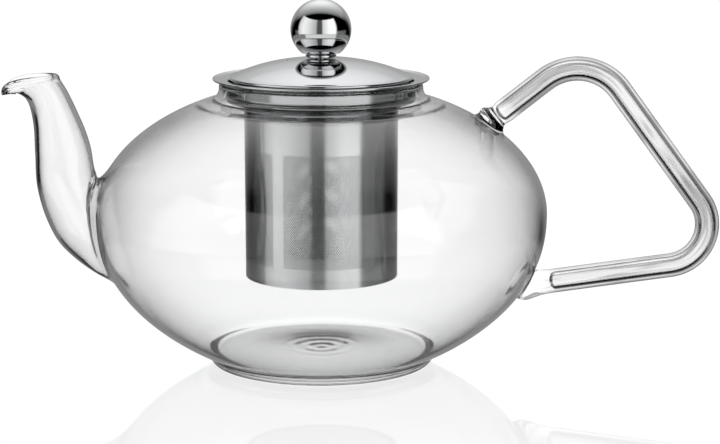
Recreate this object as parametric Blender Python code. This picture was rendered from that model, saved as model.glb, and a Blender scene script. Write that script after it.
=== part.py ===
"""Glass teapot with a lift-out steel infuser and a ball-knob lid.

Run it with: blender --background --python part.py

Frame: the origin is the centre of the flat underside, on the pot's axis.
+Z is up, +X points to the handle and -X to the spout.  Units are metres.
The pot is blown borosilicate glass.  The infuser hangs by its brim from the
glass lip, and the lid's skirt stands on the step inside the infuser.
"""

import math

import bmesh
import bpy
from mathutils import Vector

MM = 0.001

# Clearance left between pieces that touch, or that were melted together
GAP = 0.3 * MM

# How finely round pieces are faceted
BIG_STEPS = 40
SMALL_STEPS = 20
TUBE_SIDES = 12
SPOUT_SIDES = 20

# Bowl: two half superellipses that meet at the widest height
BOWL_RADIUS = 86.1 * MM
WIDEST_Z = 58.1 * MM
UPPER_HEIGHT = 49.6 * MM
LOWER_HEIGHT = 66.2 * MM
UPPER_POWERS = (1.97, 2.06)
LOWER_POWERS = (2.23, 1.52)
GLASS_WALL = 2.0 * MM
FOOT_RADIUS = 42.9 * MM
FOOT_HEIGHT = 4.0 * MM
FOOT_EDGE = 1.2 * MM
FLOOR_Z = 4.5 * MM

# Neck of the bowl
LIP_Z = 107.8 * MM
NECK_OUTER = 38.6 * MM
NECK_INNER = 36.2 * MM
NECK_FILLET = 4.5 * MM
NECK_STRAIGHT = 2.0 * MM
INSIDE_NECK = 5.5 * MM
INSIDE_SHOULDER = 8.5 * MM

# Opening in the bowl's wall, under the spout
SPOUT_HOLE_Z = 51.0 * MM
SPOUT_HOLE_HALF = (12.5 * MM, 14.0 * MM)

# Spout stations, from inside the bowl to the mouth:
# (under side x, z), (upper side x, z), half width across
SPOUT_STATIONS = [
    ((-76.0, 32.5), (-76.0, 70.5), 15.5),
    ((-86.0, 34.4), (-84.6, 69.2), 15.0),
    ((-98.4, 44.3), (-86.2, 72.8), 13.8),
    ((-104.6, 55.0), (-86.8, 77.0), 12.4),
    ((-108.1, 68.0), (-87.5, 82.5), 10.9),
    ((-108.6, 80.4), (-89.4, 89.2), 9.4),
    ((-109.0, 92.0), (-92.4, 96.6), 8.3),
    ((-111.0, 100.6), (-95.6, 103.6), 7.8),
    ((-115.2, 103.7), (-98.4, 108.4), 7.8),
    ((-120.6, 102.7), (-100.0, 110.9), 8.0),
]
SPOUT_WALL = 1.8 * MM
MOUTH_RISE = 1.6 * MM

# Handle: a bent tube.  Corners of its centre line, and the bends' radii
TUBE_RADIUS = 4.6 * MM
TUBE_BORE = 2.3 * MM
HANDLE_START = Vector((63.3, 0, 92.0)) * MM
HANDLE_CORNERS = [Vector((100.7, 0, 121.3)) * MM, Vector((160.0, 0, 40.8)) * MM]
HANDLE_END = Vector((77.6, 0, 29.6)) * MM
BEND_RADII = [20.0 * MM, 15.8 * MM]
WELD_LENGTH = 5.0 * MM
WELD_RADIUS = 5.7 * MM

# Infuser
SHEET = 0.6 * MM
BRIM_RADIUS = 41.0 * MM
BRIM_EDGE_Z = 109.3 * MM
COLLAR_OUTER = 35.65 * MM
STRAINER_RADIUS = 29.0 * MM
STRAINER_TOP = 96.0 * MM
STRAINER_BOTTOM = 33.5 * MM
CUP_HEIGHT = 6.0 * MM

# Lid
LID_RADIUS = 34.75 * MM
LID_EDGE_Z = 109.9 * MM
LID_APEX_Z = 117.0 * MM
LID_POWER = 2.3
LID_SHEET = 0.8 * MM
SKIRT_RADIUS = 33.8 * MM
SKIRT_BOTTOM = 98.95 * MM
VENT_RADIUS = 0.7 * MM
VENT_PLACE = (-12.6 * MM, -2.6 * MM)

# Knob and its screw
BALL_RADIUS = 11.5 * MM
BALL_Z = 127.7 * MM
BALL_FLAT_Z = 118.85 * MM
COLLAR_RING_RADIUS = 5.85 * MM
BORE_RADIUS = 2.3 * MM
SCREW_RADIUS = 2.0 * MM
SCREW_TIP_Z = 124.0 * MM
HEAD_RADIUS = 3.6 * MM
HEAD_HEIGHT = 2.2 * MM
WASHER_RADIUS = 5.2 * MM
WASHER_THICKNESS = 0.9 * MM


def clear_scene():
    """Remove every object that the file holds."""
    for item in list(bpy.data.objects):
        bpy.data.objects.remove(item, do_unlink=True)


def make_material(name, colour, roughness, metallic, transmission=0.0):
    """A Principled material."""
    material = bpy.data.materials.new(name)
    material.use_nodes = True
    shader = material.node_tree.nodes["Principled BSDF"]
    shader.inputs["Base Color"].default_value = (*colour, 1.0)
    shader.inputs["Roughness"].default_value = roughness
    shader.inputs["Metallic"].default_value = metallic
    shader.inputs["Transmission Weight"].default_value = transmission
    return material


def add_object(name, mesh, material=None):
    """Link a mesh to the scene under the node's name, shaded smooth."""
    item = bpy.data.objects.new(name, mesh)
    bpy.context.collection.objects.link(item)
    if material is not None:
        mesh.materials.append(material)
    mesh.shade_smooth()
    mesh.set_sharp_from_angle(angle=math.radians(35))
    return item


def lathe(name, profile, material=None, steps=BIG_STEPS, closed=True):
    """Turn a profile of (radius, z) points round the Z axis.

    The profile runs down its outer side.  A closed one makes a ring, and an
    open one starts and ends on the axis.
    """
    mesh = bpy.data.meshes.new(name)
    shape = bmesh.new()
    points = [shape.verts.new((radius, 0, z)) for radius, z in profile]
    for first, second in zip(points, points[1:]):
        shape.edges.new((first, second))
    if closed:
        shape.edges.new((points[-1], points[0]))
    shape.to_mesh(mesh)
    shape.free()
    item = add_object(name, mesh, material)
    turn = item.modifiers.new("turn", "SCREW")
    turn.steps = steps
    turn.render_steps = steps
    turn.use_merge_vertices = True
    turn.merge_threshold = 0.00001
    return item


def as_cutter(item):
    """Mark an object as a tool that isn't part of the teapot."""
    item.hide_render = True
    item.display_type = "WIRE"
    return item


def cut(item, cutter):
    """Take the cutter's shape out of an object."""
    boolean = item.modifiers.new("cut", "BOOLEAN")
    boolean.operation = "DIFFERENCE"
    boolean.solver = "EXACT"
    boolean.object = cutter


def loft(name, rings, material, wrap):
    """Skin closed rings of points.  With wrap, the last joins the first,
    which makes a tube with a wall; otherwise both ends are capped."""
    shape = bmesh.new()
    rows = [[shape.verts.new(point) for point in ring] for ring in rings]
    pairs = list(zip(rows, rows[1:]))
    if wrap:
        pairs.append((rows[-1], rows[0]))
    else:
        shape.faces.new(rows[0])
        shape.faces.new(rows[-1])
    for lower, upper in pairs:
        count = len(lower)
        for index in range(count):
            after = (index + 1) % count
            shape.faces.new((lower[index], lower[after], upper[after], upper[index]))
    bmesh.ops.recalc_face_normals(shape, faces=shape.faces)
    mesh = bpy.data.meshes.new(name)
    shape.to_mesh(mesh)
    shape.free()
    return add_object(name, mesh, material)


def arc(centre, radius, start, end, count):
    """Points (r, z) of an arc, with its angles in degrees from +r to +z."""
    points = []
    for index in range(count + 1):
        angle = math.radians(start + (end - start) * index / count)
        points.append((centre[0] + radius * math.cos(angle), centre[1] + radius * math.sin(angle)))
    return points


def bowl_radius(z, offset=0.0):
    """Radius of the bowl's outside at a height, moved outwards by offset."""
    if z >= WIDEST_Z:
        height = UPPER_HEIGHT + offset
        power, root = UPPER_POWERS
    else:
        height = LOWER_HEIGHT + offset
        power, root = LOWER_POWERS
    share = min(1.0, abs(z - WIDEST_Z) / height)
    return (BOWL_RADIUS + offset) * (1.0 - share ** power) ** (1.0 / root)


def bowl_curve(top, bottom, count, offset=0.0):
    """Points down the bowl's side.  They bunch where the glass turns most."""
    points = []
    for index in range(count + 1):
        share = 0.5 - 0.5 * math.cos(math.pi * index / count)
        z = top + (bottom - top) * share
        points.append((bowl_radius(z, offset), z))
    return points


def make_bowl(glass):
    """The blown bowl, with its neck, flat foot and the spout's opening."""
    lip = (NECK_OUTER - NECK_INNER) / 2
    lip_centre = (NECK_INNER + lip, LIP_Z - lip)
    fillet_centre = (NECK_OUTER + NECK_FILLET, LIP_Z - NECK_STRAIGHT)
    fillet = arc(fillet_centre, NECK_FILLET, 180, 248, 3)
    edge = FOOT_EDGE
    outside = arc(lip_centre, lip, 90, 0, 2)
    outside += fillet
    outside += bowl_curve(fillet[-1][1] - edge, FOOT_HEIGHT, 14)
    outside += [(FOOT_RADIUS, FOOT_HEIGHT - edge), (FOOT_RADIUS, edge), (FOOT_RADIUS - edge, 0)]
    floor_corner = 3 * GLASS_WALL
    inside_low = FLOOR_Z + GLASS_WALL
    inside = [(0, 0), (0, FLOOR_Z)]
    inside.append((bowl_radius(inside_low, -GLASS_WALL) - floor_corner, FLOOR_Z))
    inside += list(reversed(bowl_curve(LIP_Z - INSIDE_SHOULDER, inside_low, 13, -GLASS_WALL)))
    inside.append((NECK_INNER, LIP_Z - INSIDE_NECK))
    inside.append((NECK_INNER, LIP_Z - lip))
    bowl = lathe("glass_body", outside + inside, glass)
    cut(bowl, make_spout_hole())
    return bowl


def make_spout_hole():
    """An oval plug that opens the bowl's wall under the spout."""
    half_y, half_z = SPOUT_HOLE_HALF
    rings = []
    for x in (-95 * MM, -70 * MM):
        ring = []
        for index in range(SPOUT_SIDES):
            angle = math.tau * index / SPOUT_SIDES
            y = half_y * math.cos(angle)
            ring.append((x, y, SPOUT_HOLE_Z + half_z * math.sin(angle)))
        rings.append(ring)
    return as_cutter(loft("spout_hole", rings, None, wrap=False))


def make_bowl_cutter():
    """The bowl's outer shape plus the clearance, to trim what is welded on."""
    top = WIDEST_Z + UPPER_HEIGHT
    curve = bowl_curve(top, 0.0, 24, GAP)
    return as_cutter(lathe("bowl_outline", [(0, top)] + curve[1:] + [(0, 0)], closed=False))


def spout_ring(station, inset, rise):
    """One ring of the spout.  Rise lifts its two sides, as at the mouth."""
    under = Vector((station[0][0], 0, station[0][1])) * MM
    upper = Vector((station[1][0], 0, station[1][1])) * MM
    centre = (under + upper) / 2
    along = (upper - under).normalized()
    lift = Vector((-along.z, 0, along.x))
    half = (upper - under).length / 2 - inset
    width = station[2] * MM - inset
    ring = []
    for index in range(SPOUT_SIDES):
        angle = math.tau * index / SPOUT_SIDES
        point = centre + along * (half * math.cos(angle))
        point += Vector((0, width * math.sin(angle), 0))
        point += lift * (rise * math.sin(angle) ** 2)
        ring.append(point)
    return ring


def make_spout(glass, bowl_outline):
    """The drawn spout, open from the bowl to its curled beak."""
    outer = []
    inner = []
    last = len(SPOUT_STATIONS) - 1
    for index, station in enumerate(SPOUT_STATIONS):
        rise = MOUTH_RISE * max(0.0, 1.0 - (last - index) / 2.0)
        outer.append(spout_ring(station, 0.0, rise))
        inner.append(spout_ring(station, SPOUT_WALL, rise))
    spout = loft("glass_spout", outer + list(reversed(inner)), glass, wrap=True)
    cut(spout, bowl_outline)
    return spout


def bent_path(start, corners, end, radii, bend_steps):
    """Points along straight runs that are joined by round bends."""
    points = [start]
    places = [start] + corners + [end]
    for index, corner in enumerate(corners):
        back = (places[index] - corner).normalized()
        ahead = (places[index + 2] - corner).normalized()
        half = back.angle(ahead) / 2
        reach = radii[index] / math.tan(half)
        centre = corner + (back + ahead).normalized() * (radii[index] / math.sin(half))
        first = (corner + back * reach - centre).normalized()
        last = (corner + ahead * reach - centre).normalized()
        for step in range(bend_steps + 1):
            turned = first.slerp(last, step / bend_steps)
            points.append(centre + turned * radii[index])
    points.append(end)
    return points


def tube_rings(path, radius):
    """Rings square to a path that lies in the XZ plane."""
    rings = []
    for index, point in enumerate(path):
        before = path[max(index - 1, 0)]
        after = path[min(index + 1, len(path) - 1)]
        along = (after - before).normalized()
        side = Vector((-along.z, 0, along.x))
        ring = []
        for step in range(TUBE_SIDES):
            angle = math.tau * step / TUBE_SIDES
            ring.append(point + side * (radius * math.cos(angle))
                        + Vector((0, radius * math.sin(angle), 0)))
        rings.append(ring)
    return rings


def make_handle(glass):
    """The bent tube, from weld collar to weld collar."""
    first = (HANDLE_CORNERS[0] - HANDLE_START).normalized()
    last = (HANDLE_CORNERS[-1] - HANDLE_END).normalized()
    start = HANDLE_START + first * (WELD_LENGTH + GAP)
    end = HANDLE_END + last * (WELD_LENGTH + GAP)
    path = bent_path(start, HANDLE_CORNERS, end, BEND_RADII, 9)
    rings = tube_rings(path, TUBE_RADIUS) + list(reversed(tube_rings(path, TUBE_BORE)))
    return loft("glass_handle", rings, glass, wrap=True)


def make_weld(name, place, towards, glass, bowl_outline):
    """A collar of melted glass between the bowl and one end of the tube."""
    along = (towards - place).normalized()
    shares = [(-1.2, 1.0), (0.35, 1.0), (0.7, 0.9), (1.0, 0.82)]
    rings = []
    for distance, width in shares:
        centre = place + along * (WELD_LENGTH * distance)
        rings.append(tube_rings([centre - along * MM, centre, centre + along * MM],
                                WELD_RADIUS * width)[1])
    weld = loft(name, rings, glass, wrap=False)
    cut(weld, bowl_outline)
    return weld


def make_infuser_rim(steel):
    """The drawn ring: brim, collar, step and the sleeve inside the wall."""
    inner = COLLAR_OUTER - SHEET
    sleeve = STRAINER_RADIUS - SHEET - GAP
    top = BRIM_EDGE_Z
    profile = [
        (BRIM_RADIUS, top),
        (BRIM_RADIUS - 0.4 * MM, top - 0.45 * MM),
        (38.2 * MM, LIP_Z + 0.5 * MM),
        (36.2 * MM, LIP_Z + 0.35 * MM),
        (COLLAR_OUTER, LIP_Z - 0.4 * MM),
        (COLLAR_OUTER, 100.8 * MM),
        (34.8 * MM, 98.5 * MM),
        (33.0 * MM, 97.35 * MM),
        (29.6 * MM, 96.8 * MM),
        (sleeve, 96.1 * MM),
        (sleeve, 91.5 * MM),
        (sleeve - SHEET, 91.5 * MM),
        (sleeve - SHEET, 96.4 * MM),
        (29.4 * MM, 97.4 * MM),
        (32.8 * MM, 97.95 * MM),
        (34.3 * MM, 98.9 * MM),
        (inner, 101.0 * MM),
        (inner, 108.3 * MM),
        (inner + 0.5 * MM, 108.8 * MM),
        (38.2 * MM, 109.0 * MM),
        (BRIM_RADIUS - 0.4 * MM, top + 0.4 * MM),
    ]
    return lathe("infuser_rim", profile, steel)


def make_strainer_wall(steel):
    """The rolled cylinder.  Its holes are too fine for this model."""
    outer = STRAINER_RADIUS
    inner = STRAINER_RADIUS - SHEET
    low = STRAINER_BOTTOM
    profile = [(outer, STRAINER_TOP), (outer, low), (inner, low), (inner, STRAINER_TOP)]
    return lathe("strainer_wall", profile, steel)


def make_strainer_base(steel):
    """The shallow cup that closes the cylinder from inside."""
    outer = STRAINER_RADIUS - SHEET - GAP
    inner = outer - SHEET
    low = STRAINER_BOTTOM
    bend = 1.5 * MM
    profile = [
        (outer, low + CUP_HEIGHT),
        (outer, low + bend),
        (outer - bend, low),
        (0, low),
        (0, low + SHEET),
        (inner - bend, low + SHEET),
        (inner, low + SHEET + bend),
        (inner, low + CUP_HEIGHT),
    ]
    return lathe("strainer_base", profile, steel)


def lid_height(radius):
    """Height of the dome's top surface, which falls away faster near its edge."""
    return LID_APEX_Z - (LID_APEX_Z - LID_EDGE_Z) * (radius / LID_RADIUS) ** LID_POWER


def make_lid_cover(steel):
    """The spun dome, with its turned-down edge and a steam vent."""
    radii = [BORE_RADIUS] + [step * MM for step in (8, 14, 20, 26, 31)]
    top = [(radius, lid_height(radius)) for radius in radii]
    edge_in = SKIRT_RADIUS + GAP
    edge = [
        (LID_RADIUS - 0.5 * MM, LID_EDGE_Z + 0.2 * MM),
        (LID_RADIUS, LID_EDGE_Z - 0.3 * MM),
        (LID_RADIUS, LID_EDGE_Z - 1.1 * MM),
        (edge_in, LID_EDGE_Z - 1.1 * MM),
        (edge_in - 0.2 * MM, lid_height(edge_in) - LID_SHEET),
    ]
    under = [(radius, z - LID_SHEET) for radius, z in reversed(top)]
    cover = lathe("lid_cover", top + edge + under, steel)
    low = LID_EDGE_Z
    high = LID_APEX_Z + 2 * MM
    plug = [(0, high), (VENT_RADIUS, high), (VENT_RADIUS, low), (0, low)]
    vent = as_cutter(lathe("vent_drill", plug, steps=8, closed=False))
    vent.location = (*VENT_PLACE, 0)
    cut(cover, vent)
    return cover


def make_lid_skirt(steel):
    """The ring that drops into the infuser's collar."""
    inner = SKIRT_RADIUS - SHEET
    top = lid_height(SKIRT_RADIUS) - LID_SHEET - GAP
    low = SKIRT_BOTTOM
    profile = [(SKIRT_RADIUS, top), (SKIRT_RADIUS, low), (inner, low), (inner, top)]
    return lathe("lid_skirt", profile, steel)


def make_knob_ball(chrome):
    """The ball, flat underneath, with a blind hole for the screw."""
    flat_angle = math.degrees(math.asin((BALL_FLAT_Z - BALL_Z) / BALL_RADIUS))
    profile = arc((0, BALL_Z), BALL_RADIUS, 90, flat_angle, 10)
    profile[0] = (0, BALL_Z + BALL_RADIUS)
    hole_end = SCREW_TIP_Z + GAP
    profile += [(BORE_RADIUS, BALL_FLAT_Z), (BORE_RADIUS, hole_end), (0, hole_end)]
    return lathe("knob_ball", profile, chrome, SMALL_STEPS, closed=False)


def make_knob_collar(chrome):
    """The small beaded ring between the ball and the dome."""
    top = BALL_FLAT_Z - GAP
    low = LID_APEX_Z + 0.15 * MM
    middle = (top + low) / 2
    outer = COLLAR_RING_RADIUS
    profile = [
        (outer - 0.5 * MM, top),
        (outer, middle + 0.3 * MM),
        (outer, middle - 0.3 * MM),
        (outer - 0.6 * MM, low),
        (BORE_RADIUS, low + 0.15 * MM),
        (BORE_RADIUS, top),
    ]
    return lathe("knob_collar", profile, chrome, SMALL_STEPS)


def make_knob_screw(chrome):
    """A pan-head screw from under the lid up into the ball."""
    under = LID_APEX_Z - LID_SHEET
    head_top = under - WASHER_THICKNESS - 2 * GAP
    head_low = head_top - HEAD_HEIGHT
    profile = [
        (0, SCREW_TIP_Z),
        (SCREW_RADIUS, SCREW_TIP_Z),
        (SCREW_RADIUS, head_top),
        (HEAD_RADIUS, head_top),
        (HEAD_RADIUS, head_low + 0.8 * MM),
        (HEAD_RADIUS - 1.2 * MM, head_low),
        (0, head_low),
    ]
    return lathe("knob_screw", profile, chrome, SMALL_STEPS, closed=False)


def make_knob_washer(steel):
    """The washer between the screw's head and the dome."""
    top = lid_height(WASHER_RADIUS) - LID_SHEET - GAP
    low = top - WASHER_THICKNESS + 0.1 * MM
    profile = [(WASHER_RADIUS, top), (WASHER_RADIUS, low), (BORE_RADIUS, low), (BORE_RADIUS, top)]
    return lathe("knob_washer", profile, steel, SMALL_STEPS)


def main():
    clear_scene()
    glass = make_material("clear_glass", (0.93, 0.95, 0.95), 0.02, 0.0, 1.0)
    steel = make_material("satin_steel", (0.72, 0.73, 0.74), 0.25, 1.0)
    chrome = make_material("polished_steel", (0.8, 0.81, 0.82), 0.05, 1.0)

    bowl_outline = make_bowl_cutter()
    make_bowl(glass)
    make_spout(glass, bowl_outline)
    make_handle(glass)
    make_weld("handle_weld_upper", HANDLE_START, HANDLE_CORNERS[0], glass, bowl_outline)
    make_weld("handle_weld_lower", HANDLE_END, HANDLE_CORNERS[-1], glass, bowl_outline)

    make_infuser_rim(steel)
    make_strainer_wall(steel)
    make_strainer_base(steel)

    make_lid_cover(steel)
    make_lid_skirt(steel)
    make_knob_ball(chrome)
    make_knob_collar(chrome)
    make_knob_screw(chrome)
    make_knob_washer(steel)


main()
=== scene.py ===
"""Looks of the glass teapot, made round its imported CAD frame.

The glass is meshed as one blown piece: bowl, spout and handle are fields of
signed distance that melt into each other.  The steel pieces are turned from
profiles, and the strainer has its real rows of holes.  Lengths are in metres.
"""

import math

import bmesh
import bpy
import numpy as np
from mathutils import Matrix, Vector

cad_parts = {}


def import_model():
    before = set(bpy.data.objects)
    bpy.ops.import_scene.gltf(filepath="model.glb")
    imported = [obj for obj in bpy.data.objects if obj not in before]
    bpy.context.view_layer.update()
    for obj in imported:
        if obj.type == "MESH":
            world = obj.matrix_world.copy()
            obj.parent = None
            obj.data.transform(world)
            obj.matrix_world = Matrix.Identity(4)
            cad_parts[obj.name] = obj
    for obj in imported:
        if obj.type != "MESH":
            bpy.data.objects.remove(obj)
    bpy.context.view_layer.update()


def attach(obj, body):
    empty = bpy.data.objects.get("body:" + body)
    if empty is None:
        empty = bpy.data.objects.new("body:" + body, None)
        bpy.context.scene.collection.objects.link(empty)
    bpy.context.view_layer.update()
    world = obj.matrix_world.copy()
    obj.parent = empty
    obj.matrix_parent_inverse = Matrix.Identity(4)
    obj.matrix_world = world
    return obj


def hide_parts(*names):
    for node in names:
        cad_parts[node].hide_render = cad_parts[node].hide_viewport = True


MM = 0.001

# ---- glass: the same driving sizes as the CAD frame -------------------------
# The bowl and the tube are a hair smaller, so that their round walls stay inside
# the box of the frame's many-sided ones.
BOWL_RADIUS = 85.8 * MM
WIDEST_Z = 58.1 * MM
UPPER_HEIGHT = 49.6 * MM
LOWER_HEIGHT = 66.2 * MM
UPPER_POWERS = (1.97, 2.06)
LOWER_POWERS = (2.23, 1.52)
GLASS_WALL = 2.0 * MM
FOOT_RADIUS = 42.9 * MM
FOOT_HEIGHT = 4.0 * MM
FOOT_CORNER = 3.0 * MM
FOOT_RING = 5.0 * MM
FOOT_HOLLOW = 0.8 * MM
FLOOR_Z = 4.5 * MM
FLOOR_CORNER = 11.0 * MM
FLOOR_RISE = 4.0 * MM
LIP_Z = 107.8 * MM
NECK_OUTER = 38.6 * MM
NECK_INNER = 36.2 * MM
NECK_FILLET = 4.5 * MM
NECK_STRAIGHT = 2.0 * MM
RIPPLE_RADIUS = 18.0 * MM
RIPPLE_HEIGHT = 0.12 * MM
RIPPLES = 3
AXIS_MARGIN = 10.0 * MM

# (under side x, z), (upper side x, z), half width across, in millimetres
SPOUT_STATIONS = [
    ((-76.0, 32.5), (-76.0, 70.5), 15.5),
    ((-86.0, 34.4), (-84.6, 69.2), 15.0),
    ((-98.4, 44.3), (-86.2, 72.8), 13.8),
    ((-104.6, 55.0), (-86.8, 77.0), 12.4),
    ((-108.1, 68.0), (-87.5, 82.5), 10.9),
    ((-108.6, 80.4), (-89.4, 89.2), 9.4),
    ((-109.0, 92.0), (-92.4, 96.6), 8.3),
    ((-111.0, 100.6), (-95.6, 103.6), 7.8),
    ((-115.2, 103.7), (-98.4, 108.4), 7.8),
    ((-120.4, 102.7), (-100.0, 110.9), 8.0),
]
SPOUT_WALL = 1.8 * MM
MOUTH_RISE = 1.6 * MM
LIP_BULGE = 10.0 * MM

TUBE_RADIUS = 4.58 * MM
TUBE_BORE = 2.3 * MM
HANDLE_START = (63.3 * MM, 92.0 * MM)
HANDLE_CORNERS = [(100.7 * MM, 121.3 * MM), (160.0 * MM, 40.8 * MM)]
HANDLE_END = (77.6 * MM, 29.6 * MM)
BEND_RADII = [20.0 * MM, 15.8 * MM]

# swellings of the tube: height, distance from its end, and length of each
UPPER_FLARE = (1.5 * MM, 1.5 * MM, 1.9 * MM)
UPPER_WAIST = (-0.45 * MM, 5.0 * MM, 1.8 * MM)
LOWER_FLARE = (1.3 * MM, 0.0, 5.0 * MM)

TABLE_STEP = 0.4 * MM
WIDE_CELL = 1.1 * MM
FINE_CELL = 0.6 * MM
GLASS_FACES = 196000
FINE_STEPS = 160
SHARP_ANGLE = 40
ON_AXIS = 1e-9


# ---- small helpers ------------------------------------------------------------
def new_object(name, mesh, material):
    """An object in the scene, with a material unless that is None."""
    item = bpy.data.objects.new(name, mesh)
    bpy.context.scene.collection.objects.link(item)
    if material is not None:
        mesh.materials.append(material)
    return item


def mesh_of(shape, name):
    """The mesh of a finished bmesh."""
    mesh = bpy.data.meshes.new(name)
    shape.to_mesh(mesh)
    shape.free()
    return mesh


def shade(mesh):
    """Smooth shading, except across sharp edges."""
    mesh.shade_smooth()
    mesh.set_sharp_from_angle(angle=math.radians(SHARP_ANGLE))


def keep_modified(item):
    """Give an object the mesh that its modifiers make."""
    graph = bpy.context.evaluated_depsgraph_get()
    made = bpy.data.meshes.new_from_object(item.evaluated_get(graph))
    item.modifiers.clear()
    item.data = made


def cut_away(item, tool):
    """Cut a tool's shape out of an object, and take the tool away."""
    cut = item.modifiers.new("cut", "BOOLEAN")
    cut.operation = "DIFFERENCE"
    cut.object = tool
    keep_modified(item)
    bpy.data.objects.remove(tool)


def arc(centre, radius, start, end, count):
    """Points (r, z) of an arc, with its angles in degrees from +r to +z."""
    points = []
    for index in range(count + 1):
        angle = math.radians(start + (end - start) * index / count)
        points.append((centre[0] + radius * math.cos(angle), centre[1] + radius * math.sin(angle)))
    return points


def turned(name, profile, material, steps=FINE_STEPS, closed=True):
    """A profile of (radius, z) points turned round the Z axis, shaded smooth.

    A closed profile makes a ring; an open one starts and ends on the axis.
    """
    shape = bmesh.new()
    poles = {}
    verts = []
    for step in range(steps):
        angle = math.tau * step / steps
        line = []
        for index, (radius, z) in enumerate(profile):
            vert = poles.get(index)
            if vert is None:
                vert = shape.verts.new((radius * math.cos(angle), radius * math.sin(angle), z))
            if radius < ON_AXIS:
                poles[index] = vert
            line.append(vert)
        verts.append(line)
    count = len(profile)
    spans = count if closed else count - 1
    for step in range(steps):
        line = verts[step]
        after = verts[(step + 1) % steps]
        for index in range(spans):
            below = (index + 1) % count
            corners = dict.fromkeys([line[index], line[below], after[below], after[index]])
            if len(corners) > 2:
                shape.faces.new(corners)
    bmesh.ops.recalc_face_normals(shape, faces=shape.faces)
    mesh = mesh_of(shape, name)
    shade(mesh)
    return new_object(name, mesh, material)


# ---- glass fields -----------------------------------------------------------
class Table:
    """Values worked out on a regular grid of a plane, read by interpolation."""

    def __init__(self, low, high, function):
        self.low = low
        across = np.arange(low[0], high[0] + TABLE_STEP, TABLE_STEP)
        up = np.arange(low[1], high[1] + TABLE_STEP, TABLE_STEP)
        grid = np.meshgrid(across, up, indexing="ij")
        self.layers = [np.asarray(layer, np.float32) for layer in function(grid[0], grid[1])]

    def read(self, u, v):
        shape = self.layers[0].shape
        a = np.clip((u - self.low[0]) / TABLE_STEP, 0, shape[0] - 1.001)
        b = np.clip((v - self.low[1]) / TABLE_STEP, 0, shape[1] - 1.001)
        i = a.astype(np.int32)
        j = b.astype(np.int32)
        a = a - i
        b = b - j
        result = []
        for layer in self.layers:
            near = layer[i, j] * (1 - b) + layer[i, j + 1] * b
            far = layer[i + 1, j] * (1 - b) + layer[i + 1, j + 1] * b
            result.append(near * (1 - a) + far * a)
        return result


def distance_to_line(u, v, points):
    """Distance from each grid place to an open line of points, and how far along it is."""
    points = np.asarray(points)
    lengths = np.hypot(*(points[1:] - points[:-1]).T)
    starts = np.concatenate([[0], np.cumsum(lengths)])
    best = np.full(u.shape, 1e9)
    along = np.zeros(u.shape)
    for index in range(len(points) - 1):
        first = points[index]
        step = points[index + 1] - first
        share = ((u - first[0]) * step[0] + (v - first[1]) * step[1]) / (step @ step)
        share = np.clip(share, 0, 1)
        gap = np.hypot(u - first[0] - share * step[0], v - first[1] - share * step[1])
        closer = gap < best
        best = np.where(closer, gap, best)
        along = np.where(closer, starts[index] + share * lengths[index], along)
    return best, along


def signed_distance(u, v, points):
    """Distance to a closed outline, negative inside it."""
    points = np.asarray(points)
    gap, _ = distance_to_line(u, v, np.vstack([points, points[:1]]))
    inside = np.zeros(u.shape, bool)
    for first, second in zip(points, np.roll(points, -1, axis=0)):
        if first[1] == second[1]:
            continue
        crosses = (first[1] > v) != (second[1] > v)
        reach = first[0] + (v - first[1]) * (second[0] - first[0]) / (second[1] - first[1])
        inside ^= crosses & (u < reach)
    return np.where(inside, -gap, gap)


def bowl_radius(z, offset=0.0):
    """Radius of the bowl's outside at a height, moved outwards by offset."""
    if z >= WIDEST_Z:
        height = UPPER_HEIGHT + offset
        power, root = UPPER_POWERS
    else:
        height = LOWER_HEIGHT + offset
        power, root = LOWER_POWERS
    share = min(1.0, abs(z - WIDEST_Z) / height)
    return (BOWL_RADIUS + offset) * (1.0 - share ** power) ** (1.0 / root)


def bowl_curve(top, bottom, count, offset=0.0):
    """Points down the bowl's side.  They bunch where the glass turns most."""
    points = []
    for index in range(count + 1):
        share = 0.5 - 0.5 * math.cos(math.pi * index / count)
        z = top + (bottom - top) * share
        points.append((bowl_radius(z, offset), z))
    return points


def bowl_outer_outline():
    """Section of the bowl's outer shape: lip, neck, side, foot and hollow underside."""
    lip = (NECK_OUTER - NECK_INNER) / 2
    fillet = arc((NECK_OUTER + NECK_FILLET, LIP_Z - NECK_STRAIGHT), NECK_FILLET, 180, 248, 40)
    outline = [(-AXIS_MARGIN, LIP_Z)]
    outline += arc((NECK_OUTER - lip, LIP_Z - lip), lip, 90, 0, 8)
    outline += fillet
    outline += bowl_curve(fillet[-1][1] - 1.2 * MM, FOOT_HEIGHT, 300)
    outline += arc((FOOT_RADIUS - FOOT_CORNER, FOOT_CORNER), FOOT_CORNER, 0, -90, 20)
    ring = FOOT_RADIUS - FOOT_RING
    for index in range(61):
        radius = ring * (1 - index / 60)
        outline.append((radius, FOOT_HOLLOW * (1 - (radius / ring) ** 2) ** 2))
    outline.append((-AXIS_MARGIN, FOOT_HOLLOW))
    return outline


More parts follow.
